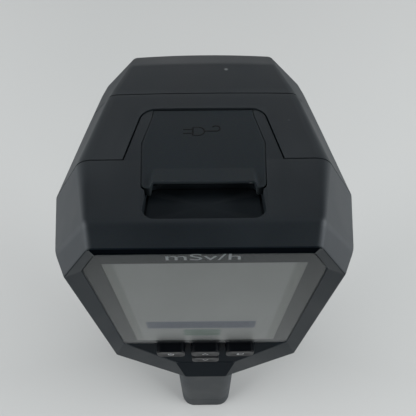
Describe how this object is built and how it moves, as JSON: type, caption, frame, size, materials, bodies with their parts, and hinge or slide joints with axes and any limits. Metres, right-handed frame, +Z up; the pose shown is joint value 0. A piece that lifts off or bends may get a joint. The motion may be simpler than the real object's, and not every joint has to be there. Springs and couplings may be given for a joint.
{
  "type": "handheld geiger counter",
  "caption": "Pistol-grip radiation survey meter: faceted head with a tilted portrait screen and keys, nose grille over a pancake tube, lift-up port flap and trigger.",
  "frame": {"origin": "centre of the tripod socket's mouth in the grip's flat base", "axes": "+Z up the instrument, +Y the way the nose points, +X to the user's right"},
  "size_m": [0.0788, 0.0871, 0.2044],
  "materials": {
    "rear_abs": "fine moulded texture",
    "main_abs": "fine moulded texture",
    "cap_abs": "fine moulded texture",
    "grip_abs": "coarse moulded texture",
    "base_abs": "fine moulded texture",
    "brass": "turned",
    "steel_pin": "ground",
    "flap_rubber": "fine matt",
    "grille_steel": "black coated",
    "ring_alloy": "dark anodised",
    "screw_steel": "zinc plated",
    "tube_steel": "drawn",
    "mica": "thin clear mica",
    "pin_brass": "plated",
    "holder_abs": "moulded",
    "foam": "closed-cell foam",
    "board_green": "solder mask",
    "chip_black": "moulded epoxy",
    "transformer_tape": "wound and taped",
    "capacitor_ceramic": "dipped",
    "socket_steel": "stamped",
    "polyimide": "film",
    "speaker_body": "moulded",
    "cloth": "fine mesh",
    "cover_glass": "polished, printed border",
    "gasket": "matt",
    "lcd": "grey page",
    "tray_alloy": "pressed",
    "key_gloss": "polished black",
    "mat_rubber": "silicone",
    "dome_steel": "sprung dome",
    "trigger_abs": "fine texture",
    "switch_black": "moulded",
    "cell_sleeve": "shrink sleeve",
    "tray_abs": "moulded",
    "nickel": "nickel plated",
    "lead_pvc": "insulated wire"
  },
  "bodies": {
    "instrument": {"rear_housing": "rear_abs", "main_housing": "main_abs", "front_cap": "cap_abs", "grip_cover": "grip_abs", "base_cap": "base_abs", "tripod_insert": "brass", "lanyard_bar": "steel_pin", "flap_pin": "steel_pin", "grille": "grille_steel", "window_ring": "ring_alloy", "ring_screws": "screw_steel", "tube_can": "tube_steel", "tube_window": "mica", "tube_pin": "pin_brass", "tube_holder": "holder_abs", "tube_cushion": "foam", "main_board": "board_green", "board_chips": "chip_black", "board_screws": "screw_steel", "high_voltage_board": "board_green", "high_voltage_transformer": "transformer_tape", "high_voltage_capacitors": "capacitor_ceramic", "port_board": "board_green", "port_socket": "socket_steel", "port_flex": "polyimide", "screen_flex": "polyimide", "speaker": "speaker_body", "speaker_cloth": "cloth", "screen_glass": "cover_glass", "glass_gasket": "gasket", "lcd_panel": "lcd", "lcd_tray": "tray_alloy", "key_mat": "mat_rubber", "key_board": "board_green", "key_domes": "dome_steel", "trigger_pin": "steel_pin", "trigger_switch": "switch_black", "battery_cell": "cell_sleeve", "battery_tray": "tray_abs", "contact_spring": "nickel", "contact_plate": "nickel", "battery_lead": "lead_pvc", "housing_screws": "screw_steel", "cap_screws": "screw_steel", "grip_screws": "screw_steel", "base_screws": "screw_steel"},
    "key_down_body": {"key_down": "key_gloss"},
    "key_enter_body": {"key_enter": "key_gloss"},
    "key_power_body": {"key_power": "key_gloss"},
    "key_up_body": {"key_up": "key_gloss"},
    "port_flap_body": {"port_flap": "flap_rubber"},
    "trigger_body": {"trigger": "trigger_abs"}
  },
  "joints": [
    {"name": "key_power_press", "type": "slide", "parent": "instrument", "child": "key_power_body", "axis": [0, 0.9962, -0.0872], "range_m": [0, 0.0008], "stiffness_N_per_m": 1500},
    {"name": "key_up_press", "type": "slide", "parent": "instrument", "child": "key_up_body", "axis": [0, 0.9962, -0.0872], "range_m": [0, 0.0008], "stiffness_N_per_m": 1500},
    {"name": "key_enter_press", "type": "slide", "parent": "instrument", "child": "key_enter_body", "axis": [0, 0.9962, -0.0872], "range_m": [0, 0.0008], "stiffness_N_per_m": 1500},
    {"name": "key_down_press", "type": "slide", "parent": "instrument", "child": "key_down_body", "axis": [0, 0.9962, -0.0872], "range_m": [0, 0.0008], "stiffness_N_per_m": 1500},
    {"name": "port_flap_lift", "type": "hinge", "parent": "instrument", "child": "port_flap_body", "pos_m": [0, 0.03794, 0.196], "axis": [-1, 0, 0], "range_deg": [0, 90]},
    {"name": "trigger_pull", "type": "hinge", "parent": "instrument", "child": "trigger_body", "pos_m": [0, 0.03106, 0.10341], "axis": [-1, 0, 0], "range_deg": [0, 8], "stiffness_Nm_per_rad": 0.6}
  ]
}
